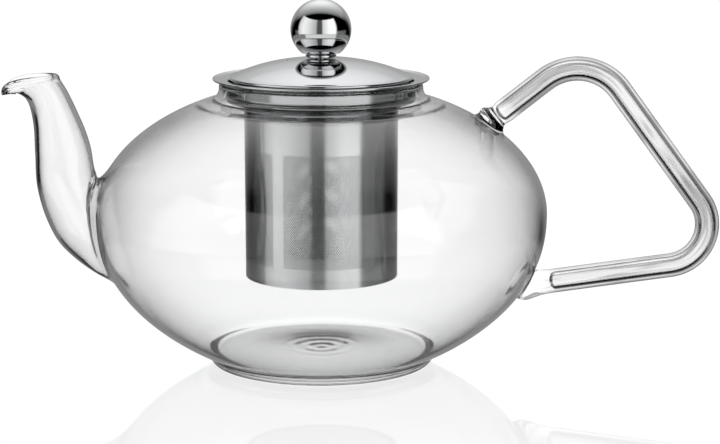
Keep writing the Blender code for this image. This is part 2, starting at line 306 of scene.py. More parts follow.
def bowl_inner_outline():
    """Section of the space inside the bowl, open upwards through the neck."""
    lip = (NECK_OUTER - NECK_INNER) / 2
    wide = NECK_INNER + 10 * MM
    outline = [(-AXIS_MARGIN, LIP_Z + 20 * MM), (wide, LIP_Z + 20 * MM), (wide, LIP_Z)]
    outline += arc((NECK_INNER + lip, LIP_Z - lip), lip, 90, 180, 8)
    fillet = NECK_FILLET + NECK_OUTER - NECK_INNER
    outline += arc((NECK_OUTER + NECK_FILLET, LIP_Z - NECK_STRAIGHT), fillet, 180, 236, 40)
    low = FLOOR_Z + FLOOR_RISE
    outline += bowl_curve(outline[-1][1] - 2.4 * MM, low, 300, -GLASS_WALL)
    side = bowl_radius(low, -GLASS_WALL)
    start = side - FLOOR_CORNER
    bend = side - 0.55 * FLOOR_CORNER
    for index in range(1, 65):
        t = index / 64
        radius = side * (1 - t) ** 2 + 2 * bend * t * (1 - t) + start * t * t
        outline.append((radius, low * (1 - t) ** 2 + FLOOR_Z * (1 - (1 - t) ** 2)))
    for index in range(121):
        radius = start * (1 - (index + 1) / 122)
        fade = max(0.0, 1 - radius / RIPPLE_RADIUS)
        wave = math.cos(math.tau * radius / RIPPLE_RADIUS * RIPPLES)
        outline.append((radius, FLOOR_Z + RIPPLE_HEIGHT * wave * fade))
    outline.append((-AXIS_MARGIN, FLOOR_Z))
    return outline


def smooth_stations(count):
    """The spout's stations, joined by a smooth curve through each of their values."""
    rows = []
    for under, upper, width in SPOUT_STATIONS:
        rows.append([value * MM for value in (*under, *upper, width)])
    rows = np.array(rows)
    ends = np.vstack([2 * rows[0] - rows[1], rows, 2 * rows[-1] - rows[-2]])
    values = []
    for index in range(count + 1):
        place = index / count * (len(rows) - 1)
        segment = min(int(place), len(rows) - 2)
        t = place - segment
        a, b, c, d = ends[segment:segment + 4]
        values.append(0.5 * (2 * b + (c - a) * t + (2 * a - 5 * b + 4 * c - d) * t * t
                             + (3 * b - a - 3 * c + d) * t ** 3))
    return np.array(values)


def spout_layers(u, v):
    """For each place in the spout's plane: where it is on its station, and the station's size."""
    stations = smooth_stations(135)
    best = np.full(u.shape, 1e9)
    layers = [np.full(u.shape, value) for value in (0.03, 0.01, 0.01)]
    before = None
    for values in stations:
        centre = (values[0:2] + values[2:4]) / 2
        half = np.hypot(*(values[2:4] - values[0:2])) / 2
        along = (values[2:4] - values[0:2]) / (2 * half)
        place = (u - centre[0]) * along[0] + (v - centre[1]) * along[1]
        gap = (u - centre[0]) * -along[1] + (v - centre[1]) * along[0]
        now = (gap, place, np.full(u.shape, half), np.full(u.shape, values[4]))
        if before is not None:
            span = before[0] - gap
            share = np.clip(before[0] / np.where(np.abs(span) < 1e-9, 1e-9, span), 0, 1)
            mixed = [a + (b - a) * share for a, b in zip(before, now)]
            closer = (np.abs(mixed[0]) < best) & (np.abs(mixed[1]) < 1.6 * mixed[2])
            best = np.where(closer, np.abs(mixed[0]), best)
            for layer, value in zip(layers, mixed[1:]):
                layer[...] = np.where(closer, value, layer)
        before = now
    return layers


def bent_line(start, corners, end, radii, bend_steps):
    """Points along straight runs that are joined by round bends, in a plane."""
    points = [Vector(start)]
    places = [Vector(start)] + [Vector(corner) for corner in corners] + [Vector(end)]
    for index, radius in enumerate(radii):
        corner = places[index + 1]
        back = (places[index] - corner).normalized()
        ahead = (places[index + 2] - corner).normalized()
        half = back.angle(ahead) / 2
        reach = radius / math.tan(half)
        centre = corner + (back + ahead).normalized() * (radius / math.sin(half))
        first = (corner + back * reach - centre).normalized()
        last = (corner + ahead * reach - centre).normalized()
        turn = first.angle_signed(last)
        for step in range(bend_steps + 1):
            angle = -turn * step / bend_steps
            cosine = math.cos(angle)
            sine = math.sin(angle)
            spoke = Vector((first.x * cosine - first.y * sine, first.x * sine + first.y * cosine))
            points.append(centre + spoke * radius)
    points.append(Vector(end))
    return [tuple(point) for point in points]


def part_of_line(points, start, end):
    """The stretch of a line between two lengths along it."""
    result = []
    done = 0.0
    for first, second in zip(points, points[1:]):
        length = math.dist(first, second)
        low = max(0.0, (start - done) / length)
        high = min(1.0, (end - done) / length)
        if low < high:
            for share in (low, high):
                point = (first[0] + (second[0] - first[0]) * share,
                         first[1] + (second[1] - first[1]) * share)
                if not result or math.dist(point, result[-1]) > 1e-7:
                    result.append(point)
        done += length
    return result


def swelling(along, shape):
    """How much a swelling adds to the tube's radius at each place along it."""
    height, place, length = shape
    return height * np.exp(-((along - place) / length) ** 2)


def melt(a, b, width):
    """Smooth union of two fields: the seam between them is filled by a soft hollow."""
    overlap = np.maximum(width - np.abs(a - b), 0) / width
    return np.minimum(a, b) - overlap * overlap * width / 4


def soften(a, b, width):
    """Smooth intersection of two fields, which rounds the edge between them."""
    return -melt(-a, -b, width)


class Glass:
    """The whole glass piece as one signed distance field."""

    ROOT_MELT = 7.0 * MM
    CAVITY_MELT = 5.0 * MM
    WELD_MELT = 2.4 * MM
    RIM_ROUND = 1.2 * MM
    BEAD_RADIUS = 1.15 * MM
    BEAD_MELT = 1.0 * MM
    EDGE_ROUND = 0.6 * MM
    UPPER_PLUG = 7.2 * MM
    LOWER_PLUG = 12.0 * MM

    SPOUT_LOW = (-128 * MM, 22 * MM)
    SPOUT_HIGH = (-66 * MM, 120 * MM)
    HANDLE_LOW = (55 * MM, 18 * MM)
    HANDLE_HIGH = (160 * MM, 125 * MM)

    def __init__(self):
        outer = bowl_outer_outline()
        inner = bowl_inner_outline()
        low = (0, -6 * MM)
        high = (100 * MM, LIP_Z + 12 * MM)
        self.outer = Table(low, high, lambda u, v: [signed_distance(u, v, outer)])
        self.inner = Table(low, high, lambda u, v: [signed_distance(u, v, inner)])
        self.spout = Table(self.SPOUT_LOW, self.SPOUT_HIGH, spout_layers)
        line = bent_line(HANDLE_START, HANDLE_CORNERS, HANDLE_END, BEND_RADII, 24)
        self.length = sum(math.dist(first, second) for first, second in zip(line, line[1:]))
        bore = part_of_line(line, self.UPPER_PLUG, self.length - self.LOWER_PLUG)
        place = (self.HANDLE_LOW, self.HANDLE_HIGH)
        self.tube = Table(*place, lambda u, v: distance_to_line(u, v, line))
        self.bore = Table(*place, lambda u, v: distance_to_line(u, v, bore))
        self.mouth = smooth_stations(1)[-1]

    def spout_fields(self, x, y, z):
        """The spout's outer shape and the channel inside it."""
        place, half, width = self.spout.read(x, z)
        under = self.mouth[0:2]
        upper = self.mouth[2:4]
        centre = (under + upper) / 2
        height = np.hypot(*(upper - under))
        along = (upper - under) / height
        share = ((x - under[0]) * along[0] + (z - under[1]) * along[1]) / height
        share = np.clip(share, 0.0, 1.0)
        rise = MOUTH_RISE * np.clip((y / width) ** 2, 0, 1.5)
        rise += LIP_BULGE * np.sqrt(share) * (1 - share) ** 2
        past = (x - centre[0]) * -along[1] + (z - centre[1]) * along[0] - rise
        fields = []
        for inset in (0.0, SPOUT_WALL):
            a = half - inset
            b = width - inset
            near = np.hypot(place / a, y / b)
            slope = np.hypot(place / (a * a), y / (b * b))
            fields.append(near * (near - 1) / np.maximum(slope, 1e-6))
        bead = np.hypot(fields[0] + SPOUT_WALL / 2, past + self.BEAD_RADIUS) - self.BEAD_RADIUS
        fields[0] = soften(fields[0], past, self.RIM_ROUND)
        return *fields, bead

    def handle_fields(self, x, y, z):
        """The handle's outer shape and the hollow inside it."""
        gap, along = self.tube.read(x, z)
        radius = TUBE_RADIUS + swelling(along, UPPER_FLARE) + swelling(along, UPPER_WAIST)
        radius += swelling(self.length - along, LOWER_FLARE)
        outer = np.hypot(gap, y) - radius
        bore_gap, _ = self.bore.read(x, z)
        return outer, np.hypot(bore_gap, y) - TUBE_BORE

    def value(self, x, y, z):
        """Signed distance to the glass, negative in the glass."""
        radius = np.hypot(x, y)
        solid, = self.outer.read(radius, z)
        space, = self.inner.read(radius, z)
        left = (x < self.SPOUT_HIGH[0]) & (z > self.SPOUT_LOW[1])
        right = (x > self.HANDLE_LOW[0]) & (z > self.HANDLE_LOW[1])
        spout, channel, bead = self.spout_fields(x[left], y[left], z[left])
        solid[left] = melt(solid[left], spout, self.ROOT_MELT)
        space[left] = melt(space[left], channel, self.CAVITY_MELT)
        tube, bore = self.handle_fields(x[right], y[right], z[right])
        solid[right] = melt(solid[right], tube, self.WELD_MELT)
        space[right] = np.minimum(space[right], bore)
        result = soften(solid, -space, self.EDGE_ROUND)
        result[left] = melt(result[left], bead, self.BEAD_MELT)
        return result

    def slope(self, points):
        """Gradient of the field at an array of points."""
        reach = 0.5 * MM
        result = np.empty_like(points)
        for axis, step in enumerate(np.eye(3, dtype=points.dtype) * reach):
            ahead = self.value(*(points + step).T)
            behind = self.value(*(points - step).T)
            result[:, axis] = (ahead - behind) / (2 * reach)
        return result

    def settle(self, points, rounds):
        """Move points onto the glass's surface."""
        for _ in range(rounds):
            value = self.value(*points.T)
            slope = self.slope(points)
            scale = np.maximum((slope * slope).sum(1), 0.2)
            step = np.clip(value, -FINE_CELL, FINE_CELL) / scale
            points = points - slope * step[:, None]
        return points


def grid_axis(low, high, fine_ranges):
    """Grid places along one axis, close together inside the fine ranges."""
    places = [low]
    while places[-1] < high:
        here = places[-1]
        fine = any(start <= here < end for start, end in fine_ranges)
        places.append(here + (FINE_CELL if fine else WIDE_CELL))
    return np.array(places)


def surface_net(value, axes):
    """Vertices and quads of the zero surface of a field on a grid of three axes."""
    inside = value < 0
    cells = tuple(size - 1 for size in value.shape)
    corners = np.zeros(cells, np.int8)
    shifts = list(np.ndindex(2, 2, 2))
    for i, j, k in shifts:
        corners += inside[i:i + cells[0], j:j + cells[1], k:k + cells[2]]
    mixed = np.argwhere((corners > 0) & (corners < 8))
    number = np.full(cells, -1, np.int32)
    number[tuple(mixed.T)] = np.arange(len(mixed))
    total = np.zeros((len(mixed), 3))
    hits = np.zeros(len(mixed))
    for first in shifts:
        for axis in range(3):
            if first[axis]:
                continue
            second = tuple(np.add(first, np.eye(3, dtype=int)[axis]))
            a = value[tuple((mixed + first).T)]
            b = value[tuple((mixed + second).T)]
            crossed = (a < 0) != (b < 0)
            share = np.where(crossed, a / np.where(crossed, a - b, 1), 0)
            place = np.tile(np.array(first, float), (len(mixed), 1))
            place[:, axis] += share
            total[crossed] += place[crossed]
            hits += crossed
    place = mixed + total / hits[:, None]
    points = np.stack([np.interp(place[:, i], np.arange(len(axes[i])), axes[i]) for i in range(3)], 1)
    quads = []
    for axis in range(3):
        edges = np.argwhere(np.diff(inside, axis=axis))
        others = [other for other in range(3) if other != axis]
        keep = np.all([(edges[:, o] > 0) & (edges[:, o] < cells[o]) for o in others], axis=0)
        edges = edges[keep]
        ring = []
        for du, dv in ((-1, -1), (0, -1), (0, 0), (-1, 0)):
            cell = edges.copy()
            cell[:, others] += (du, dv)
            ring.append(number[tuple(cell.T)])
        ring = np.stack(ring, axis=1)
        flip = inside[tuple(edges.T)] == (axis == 1)
        ring[flip] = ring[flip][:, ::-1]
        quads.append(ring)
    return points, np.vstack(quads)


def glass_axes():
    """The grid's three axes, finest at the spout, the handle, the foot and the lip."""
    return [grid_axis(-123.5 * MM, 154.5 * MM, [(-130 * MM, -77 * MM), (60 * MM, 160 * MM)]),
            grid_axis(-88.5 * MM, 88.5 * MM, [(-18.5 * MM, 17.5 * MM)]),
            grid_axis(-2.5 * MM, 119.5 * MM, [(-10 * MM, 11 * MM), (98 * MM, 120 * MM)])]


def thin_out(item, points, quads):
    """Leave out faces that the shape doesn't need, except in the bowl's floor."""
    floor = (np.hypot(points[:, 0], points[:, 1]) < FOOT_RADIUS + 9 * MM) & (points[:, 2] < 12 * MM)
    loose = item.vertex_groups.new(name="loose")
    loose.add(np.flatnonzero(~floor).tolist(), 1.0, "REPLACE")
    thin = item.modifiers.new("thin", "DECIMATE")
    thin.ratio = GLASS_FACES / (2 * len(quads))
    thin.vertex_group = loose.name
    keep_modified(item)


def make_glass(material):
    """The blown glass as one closed mesh, its points settled on the smooth surface."""
    glass = Glass()
    axes = glass_axes()
    value = np.empty([len(axis) for axis in axes], np.float32)
    y, z = np.meshgrid(axes[1], axes[2], indexing="ij")
    for index, x in enumerate(axes[0]):
        value[index] = glass.value(np.full(y.shape, x), y, z)
    points, quads = surface_net(value, axes)
    mesh = bpy.data.meshes.new("blown_glass")
    mesh.from_pydata(points.tolist(), [], quads.tolist())
    item = new_object("blown_glass", mesh, material)
    thin_out(item, points, quads)
    mesh = item.data
    place = np.empty(len(mesh.vertices) * 3, np.float32)
    mesh.vertices.foreach_get("co", place)
    place = glass.settle(place.reshape(-1, 3), 3)
    mesh.vertices.foreach_set("co", place.astype(np.float32).ravel())
    slope = glass.slope(place)
    slope /= np.maximum(np.linalg.norm(slope, axis=1), 1e-6)[:, None]
    mesh.shade_smooth()
    mesh.normals_split_custom_set_from_vertices(slope.tolist())
    mesh.update()
    return item


# ---- materials --------------------------------------------------------------
def feed(tree, target, sources):
    """Fill a node's inputs, each with a value or from another node's output."""
    for key, source in sources.items():
        if isinstance(source, bpy.types.NodeSocket):
            tree.links.new(source, target.inputs[key])
        else:
            target.inputs[key].default_value = source


def node(tree, kind, sources=None, **settings):
    """Add a shader node of a kind, set its attributes and fill its inputs."""
    made = tree.nodes.new("ShaderNode" + kind)
    for name, value in settings.items():
        setattr(made, name, value)
    feed(tree, made, sources or {})
    return made


def ramp(tree, source, stops):
    """A colour ramp of greys; stops are (position, value)."""
    made = node(tree, "ValToRGB", {"Fac": source})
    steps = made.color_ramp.elements
    while len(steps) > 1:
        steps.remove(steps[-1])
    for index, (position, value) in enumerate(stops):
        step = steps[0] if index == 0 else steps.new(position)
        step.position = position
        step.color = (value, value, value, 1)
    return made.outputs["Color"]


def maths(tree, operation, *values):
    """The result of a Math node on numbers or other nodes' outputs."""
    return node(tree, "Math", dict(enumerate(values)), operation=operation).outputs[0]


def vectors(tree, operation, *values):
    """A Vector Math node on vectors or other nodes' outputs."""
    return node(tree, "VectorMath", dict(enumerate(values)), operation=operation)


def between(tree, value, low, high, first=0.0, last=1.0):
    """Where a value is between low and high, as a number from first to last."""
    sources = {"Value": value, "From Min": low, "From Max": high, "To Min": first, "To Max": last}
    return node(tree, "MapRange", sources).outputs["Result"]


def mix_numbers(tree, share, first, second):
    return node(tree, "Mix", {0: share, 2: first, 3: second}, data_type="FLOAT").outputs[0]


def mix_colours(tree, share, first, second, way="MIX"):
    made = node(tree, "Mix", data_type="RGBA", blend_type=way)
    feed(tree, made, {0: share, 6: first, 7: second})
    return made.outputs[2]


def mix_shaders(tree, share, first, second):
    return node(tree, "MixShader", {0: share, 1: first, 2: second}).outputs["Shader"]


def axis_distance(tree, place):
    """Distance of each place from the pot's upright axis."""
    flat = vectors(tree, "MULTIPLY", place, (1, 1, 0)).outputs["Vector"]
    return vectors(tree, "LENGTH", flat).outputs["Value"]


def new_material(name):
    """A material, its node tree and the place of each point in its object."""
    material = bpy.data.materials.new(name)
    material.use_nodes = True
    tree = material.node_tree
    return material, tree, node(tree, "TexCoord").outputs["Object"]


# Painted shade on the glass: brightness of its colour from seen face on (0) to edge on (1), darker
# edge on where dark surroundings would show.
BOWL_PAINTED_EDGE_SHADE = [(0.0, 0.995), (0.25, 0.99), (0.36, 0.96), (0.45, 0.91), (0.58, 0.82),
                  (0.68, 0.7), (0.82, 0.45), (1.0, 0.12)]
SPOUT_PAINTED_EDGE_SHADE = [(0.0, 0.96), (0.2, 0.93), (0.45, 0.78), (0.62, 0.62), (0.8, 0.35), (1.0, 0.08)]
TUBE_PAINTED_EDGE_SHADE = [(0.0, 0.96), (0.1, 0.93), (0.25, 0.8), (0.45, 0.52), (0.62, 0.34), (0.8, 0.16),
                  (1.0, 0.03)]
CLEAR_GLASS = (0.975, 0.98, 0.978, 1)
# Painted dark reflection streaks along the handle's tube: stretched noise read through these stops.
PAINTED_REFLECTION_STREAKS = [(0.38, 0.45), (0.47, 1.0)]
PAINTED_STREAK_STRETCH = (25, 1500, 25)
# The tube is past the first distance along x, and within the second of y = 0.
TUBE_SPACE = (60 * MM, 7 * MM)
# Away from the shoulder at the tube's root, and where the plain tube begins that way.
SHOULDER_SLOPE = (0.64, 0, 0.77)
SHOULDER_EDGE = (118 * MM, 123 * MM)


def glass_colour_and_painted_shade(tree, place, radius, outside):
    """The glass's colour with painted shade: darkened edge on, clear at neck and foot, with painted
    dark reflection streaks along the tube.
    """
    facing = node(tree, "LayerWeight", {"Blend": 0.5}).outputs["Facing"]
    split = node(tree, "SeparateXYZ", {0: place}).outputs
    raised = between(tree, split["Z"], 8 * MM, 66 * MM)
    bowl_share = maths(tree, "MULTIPLY", outside, raised)
    # Painted shade on the bowl edge on; none near the axis (neck and foot) and none low down.
    bowl = mix_colours(tree, bowl_share, CLEAR_GLASS, ramp(tree, facing, BOWL_PAINTED_EDGE_SHADE))
    stretched = vectors(tree, "MULTIPLY", place, PAINTED_STREAK_STRETCH).outputs["Vector"]
    noise = node(tree, "TexNoise", {"Vector": stretched, "Scale": 1.0, "Detail": 2.0})
    painted_streaks = ramp(tree, noise.outputs["Fac"], PAINTED_REFLECTION_STREAKS)
    # Painted shade edge on, times the painted reflection streaks.
    tube = mix_colours(tree, 1.0, ramp(tree, facing, TUBE_PAINTED_EDGE_SHADE), painted_streaks, "MULTIPLY")
    right = maths(tree, "GREATER_THAN", split["X"], TUBE_SPACE[0])
    narrow = maths(tree, "COMPARE", split["Y"], 0.0, TUBE_SPACE[1])
    at_tube = maths(tree, "MULTIPLY", right, narrow)
    # Painted shade edge on, for the spout and the handle.
    drawn = mix_colours(tree, at_tube, ramp(tree, facing, SPOUT_PAINTED_EDGE_SHADE), tube)
    beside = between(tree, radius, BOWL_RADIUS - 3 * MM, BOWL_RADIUS + 5 * MM)
    outwards = vectors(tree, "DOT_PRODUCT", place, SHOULDER_SLOPE).outputs["Value"]
    above = between(tree, outwards, *SHOULDER_EDGE)
    return mix_colours(tree, maths(tree, "MAXIMUM", beside, above), bowl, drawn)


def glass_material():
    """Clear fire-polished glass.  Lamps and soft light pass straight through it."""
    material, tree, place = new_material("clear_glass")
    radius = axis_distance(tree, place)
    outside = between(tree, radius, NECK_OUTER, FOOT_RADIUS + 15 * MM)
    noise = node(tree, "TexNoise", {"Vector": place, "Scale": 38.0, "Detail": 1.0})
    uneven = maths(tree, "MULTIPLY", outside, 0.08)
    bump = node(tree, "Bump", {"Distance": 0.3 * MM, "Strength": uneven,
                                         "Height": noise.outputs["Fac"]})
    shader = tree.nodes["Principled BSDF"]
    # Base colour: the glass's own tint, with painted shade edge on and painted reflection streaks.
    feed(tree, shader, {"Base Color": glass_colour_and_painted_shade(tree, place, radius, outside),
                        "Roughness": 0.03, "IOR": 1.47, "Transmission Weight": 1.0,
                        "Normal": bump.outputs["Normal"]})
    path = node(tree, "LightPath").outputs
    passing = maths(tree, "MAXIMUM", path["Is Shadow Ray"], path["Is Diffuse Ray"])
    clear = node(tree, "BsdfTransparent", {"Color": (0.93, 0.94, 0.94, 1)})
    surface = mix_shaders(tree, passing, shader.outputs["BSDF"], clear.outputs["BSDF"])
    feed(tree, tree.nodes["Material Output"], {"Surface": surface})
    return material


# colour, roughness, its spread, stretch of the fine lines along x, y and z, their depth
POLISHED = ((0.70, 0.71, 0.72), 0.06, 0.015, (30, 30, 900), 0.02)
SATIN = ((0.66, 0.67, 0.675), 0.13, 0.03, (60, 60, 1200), 0.08)
CHROME = ((0.78, 0.79, 0.79), 0.025, 0.01, (200, 200, 200), 0.01)


def steel_material(name, colour, rough, spread, brush, depth, inside=0.0):
    """Stainless steel with fine lines.

    Nearer to the pot's axis than the radius inside, its colour is darkened to a quarter: painted
    shade, as in a closed cup.
    """
    material, tree, place = new_material(name)
    stretched = node(tree, "Mapping", {"Scale": brush, "Vector": place})
    noise = node(tree, "TexNoise", {"Vector": stretched.outputs["Vector"], "Scale": 1.0,
                                              "Detail": 5.0, "Roughness": 0.65})
    lines = noise.outputs["Fac"]
    darker = [channel * 0.94 for channel in colour]
    tint = mix_colours(tree, lines, (*darker, 1), (*colour, 1))
    # Painted shade: a quarter as bright nearer the axis than the radius inside.
    light = between(tree, axis_distance(tree, place), inside - 0.3 * MM, inside, 0.25)
    dimmed = vectors(tree, "SCALE", tint)
    feed(tree, dimmed, {"Scale": light})
    bump = node(tree, "Bump", {"Strength": depth, "Distance": 0.05 * MM, "Height": lines})
    feed(tree, tree.nodes["Principled BSDF"],
         {"Base Color": dimmed.outputs["Vector"], "Metallic": 1.0,
          "Roughness": between(tree, lines, 0.0, 1.0, rough - spread, rough + spread),
          "Normal": bump.outputs["Normal"]})
    return material


# ---- steel ----------------------------------------------------------------------
SHEET = 0.6 * MM
BRIM_RADIUS = 41.0 * MM
BRIM_EDGE_Z = 109.3 * MM
COLLAR_OUTER = 35.65 * MM
STRAINER_RADIUS = 29.0 * MM
STRAINER_TOP = 96.0 * MM
STRAINER_BOTTOM = 33.5 * MM
CUP_HEIGHT = 6.0 * MM
CUP_BEND = 1.5 * MM
STEP_BEND = 3.4 * MM
STEP_Z = 101.2 * MM
SLEEVE_BEND = 1.2 * MM
SLEEVE_TOP = 95.75 * MM
SLEEVE_BOTTOM = 91.5 * MM
GAP = 0.3 * MM

LID_RADIUS = 34.75 * MM
LID_EDGE_Z = 109.9 * MM
LID_APEX_Z = 117.0 * MM
LID_POWER = 2.3
LID_SHEET = 0.8 * MM
SKIRT_RADIUS = 33.8 * MM
SKIRT_BOTTOM = 98.95 * MM
VENT_RADIUS = 0.7 * MM
VENT_PLACE = (-12.6 * MM, -2.6 * MM)

BALL_RADIUS = 11.5 * MM
BALL_Z = 127.7 * MM
BALL_FLAT_Z = 118.85 * MM
COLLAR_RING_RADIUS = 5.85 * MM
BORE_RADIUS = 2.3 * MM
SCREW_RADIUS = 2.0 * MM
SCREW_TIP_Z = 124.0 * MM
HEAD_RADIUS = 3.6 * MM
HEAD_HEIGHT = 2.2 * MM
HEAD_BEND = 1.4 * MM
RECESS_SPAN = 4.0 * MM
RECESS_WIDTH = 0.9 * MM
RECESS_DEPTH = 1.2 * MM
WASHER_RADIUS = 5.2 * MM
WASHER_THICKNESS = 0.9 * MM

HOLE_PITCH = 0.87 * MM
HOLE_ROW = 0.52 * MM
HOLE_RADIUS = 0.235 * MM
PANELS = 5
PANEL_TURN = 35.0
PANEL_LOW = 41.0 * MM
PANEL_HIGH = 83.5 * MM
PANEL_SPAN = 63.5
WELD_DISTANCE = 0.002 * MM


def make_infuser_rim(steel):
    """The drawn ring: wide brim, collar, step and sleeve."""
    inner = COLLAR_OUTER - SHEET
    sleeve = STRAINER_RADIUS - SHEET - GAP
    brim = 0.42 * MM
    step = (COLLAR_OUTER - STEP_BEND, STEP_Z)
    turn = (sleeve + SLEEVE_BEND, SLEEVE_TOP)
    profile = arc((BRIM_RADIUS - brim, BRIM_EDGE_Z - 0.02 * MM), brim, 80, -95, 8)
    profile += [(38.6 * MM, LIP_Z + 0.55 * MM), (37.2 * MM, LIP_Z + 0.4 * MM)]
    profile += arc((COLLAR_OUTER + SHEET, LIP_Z - 0.25 * MM), SHEET, 90, 180, 5)
    profile.append((COLLAR_OUTER, STEP_Z + 0.4 * MM))
    profile += arc(step, STEP_BEND, 0, -80, 10)
    profile += [(31.2 * MM, 97.25 * MM), (29.9 * MM, 96.95 * MM)]
    profile += arc(turn, SLEEVE_BEND, 90, 180, 5)
    profile += [(sleeve, SLEEVE_BOTTOM), (sleeve - SHEET, SLEEVE_BOTTOM), (sleeve - SHEET, 95.8 * MM)]
    profile += arc(turn, SLEEVE_BEND + SHEET, 180, 95, 5)
    profile.append((31.2 * MM, 97.25 * MM + SHEET))
    profile += arc(step, STEP_BEND - SHEET, -80, 0, 10)
    profile.append((inner, LIP_Z))
    profile += arc((inner + 1.2 * MM, LIP_Z), 1.2 * MM, 180, 95, 6)
    profile += [(37.6 * MM, 109.0 * MM), (39.2 * MM, 109.1 * MM), (40.0 * MM, 109.25 * MM)]
    return turned("steel_rim", profile, steel)


def make_strainer_sheet(steel):
    """The plain parts of the rolled cylinder: bands above and below, strips between panels."""
    shape = bmesh.new()
    outer = STRAINER_RADIUS
    inner = STRAINER_RADIUS - SHEET
    heights = [STRAINER_BOTTOM, PANEL_LOW, PANEL_HIGH, STRAINER_TOP]
    turns = []
    for panel in range(PANELS):
        start = PANEL_TURN - PANEL_SPAN + panel * 360 / PANELS
        gap = 360 / PANELS - PANEL_SPAN
        turns += [(start + PANEL_SPAN * step / 32, True) for step in range(32)]
        turns += [(start + PANEL_SPAN + gap * step / 6, False) for step in range(6)]
    columns = []
    for turn, _ in turns:
        angle = math.radians(turn - 90)
        columns.append([[shape.verts.new((radius * math.cos(angle), radius * math.sin(angle), z))
                         for z in heights] for radius in (outer, inner)])
    for index, (_, open_here) in enumerate(turns):
        here = columns[index]
        after = columns[(index + 1) % len(turns)]
        for band in range(3):
            if not (open_here and band == 1):
                shape.faces.new((here[0][band], after[0][band], after[0][band + 1], here[0][band + 1]))
                shape.faces.new((here[1][band], here[1][band + 1], after[1][band + 1], after[1][band]))
        for level in ((0, 1, 2, 3) if open_here else (0, 3)):
            shape.faces.new((here[0][level], here[1][level], after[1][level], after[0][level]))
        if open_here != turns[index - 1][1]:
            shape.faces.new((here[0][1], here[0][2], here[1][2], here[1][1]))
    bmesh.ops.recalc_face_normals(shape, faces=shape.faces)
    mesh = mesh_of(shape, "strainer_sheet")
    shade(mesh)
    return new_object("strainer_sheet", mesh, steel)


def make_panel(index, steel):
    """One panel of staggered round holes, each in its own small brick of the sheet."""
    start = math.radians(PANEL_TURN - PANEL_SPAN + index * 360 / PANELS - 90)
    span = math.radians(PANEL_SPAN)
    across = round(span * STRAINER_RADIUS / HOLE_PITCH)
    rows = round((PANEL_HIGH - PANEL_LOW) / HOLE_ROW)
    step = span / across
    row = (PANEL_HIGH - PANEL_LOW) / rows
    points = []
    faces = []

    def bend(turn, z, radius):
        angle = start + turn
        points.append((radius * math.cos(angle), radius * math.sin(angle), z))
        return len(points) - 1

    for level in range(rows):
        z0 = PANEL_LOW + level * row
        z1 = z0 + row
        middle = (z0 + z1) / 2
        shift = 0.5 if level % 2 else 0.0
        for column in range(across - (level % 2)):
            left = (column + shift) * step
            rim = [(left, z0), (left + step / 2, z0), (left + step, z0),
                   (left + step, z1), (left + step / 2, z1), (left, z1)]
            hole = []
            for corner in range(6):
                angle = math.radians(210 + 60 * corner)
                turn = left + step / 2 + HOLE_RADIUS * math.cos(angle) / STRAINER_RADIUS
                hole.append((turn, middle + HOLE_RADIUS * math.sin(angle)))
            front, back = [[[bend(turn, z, radius) for turn, z in loop] for loop in (rim, hole)]
                           for radius in (STRAINER_RADIUS, STRAINER_RADIUS - SHEET)]
            for corner in range(6):
                after = (corner + 1) % 6
                faces.append((front[0][corner], front[0][after], front[1][after], front[1][corner]))
                faces.append((back[0][corner], back[1][corner], back[1][after], back[0][after]))
                faces.append((front[1][corner], front[1][after], back[1][after], back[1][corner]))
        if level % 2:
            for left in (0.0, span - step / 2):
                for radius, order in ((STRAINER_RADIUS, 1), (STRAINER_RADIUS - SHEET, -1)):
                    corners = [bend(left, z0, radius), bend(left + step / 2, z0, radius),
                               bend(left + step / 2, z1, radius), bend(left, z1, radius)]
                    faces.append(tuple(corners[::order]))
    name = f"strainer_panel_{index + 1}"
    mesh = bpy.data.meshes.new(name)
    mesh.from_pydata(points, [], faces)
    shape = bmesh.new()
    shape.from_mesh(mesh)
    bmesh.ops.remove_doubles(shape, verts=shape.verts, dist=WELD_DISTANCE)
    shape.to_mesh(mesh)
    shape.free()
    shade(mesh)
    return new_object(name, mesh, steel)


def make_strainer_base(steel):
    """The cup that closes the cylinder, with a rounded lower edge."""
    outer = STRAINER_RADIUS - SHEET - GAP
    low = STRAINER_BOTTOM
    bend = (outer - CUP_BEND, low + CUP_BEND)
    profile = [(outer, low + CUP_HEIGHT)] + arc(bend, CUP_BEND, 0, -90, 6)
    profile += [(0, low), (0, low + SHEET)] + arc(bend, CUP_BEND - SHEET, -90, 0, 6)
    profile.append((outer - SHEET, low + CUP_HEIGHT))
    return turned("steel_base", profile, steel)


def lid_height(radius):
    """Height of the dome's top surface, which falls away faster near its edge."""
    return LID_APEX_Z - (LID_APEX_Z - LID_EDGE_Z) * (radius / LID_RADIUS) ** LID_POWER


def make_lid(steel):
    """The spun dome with its rolled edge; the vent is drilled through."""
    reach = SKIRT_RADIUS - 0.4 * MM - BORE_RADIUS
    radii = [BORE_RADIUS + reach * step / 26 for step in range(27)]
    top = [(radius, lid_height(radius)) for radius in radii]
    edge = arc((LID_RADIUS - 0.75 * MM, LID_EDGE_Z - 0.25 * MM), 0.75 * MM, 75, -60, 8)
    edge.append((SKIRT_RADIUS + GAP, LID_EDGE_Z - 1.05 * MM))
    edge.append((SKIRT_RADIUS + 0.1 * MM, lid_height(SKIRT_RADIUS) - LID_SHEET))
    under = [(radius, z - LID_SHEET) for radius, z in reversed(top)]
    lid = turned("steel_lid", top + edge + under, steel, steps=192)
    low = LID_EDGE_Z
    high = LID_APEX_Z + 2 * MM
    drill = turned("vent_drill", [(0, high), (VENT_RADIUS, high), (VENT_RADIUS, low), (0, low)],
                   None, steps=24, closed=False)
    drill.location = (*VENT_PLACE, 0)
    cut_away(lid, drill)
    return lid


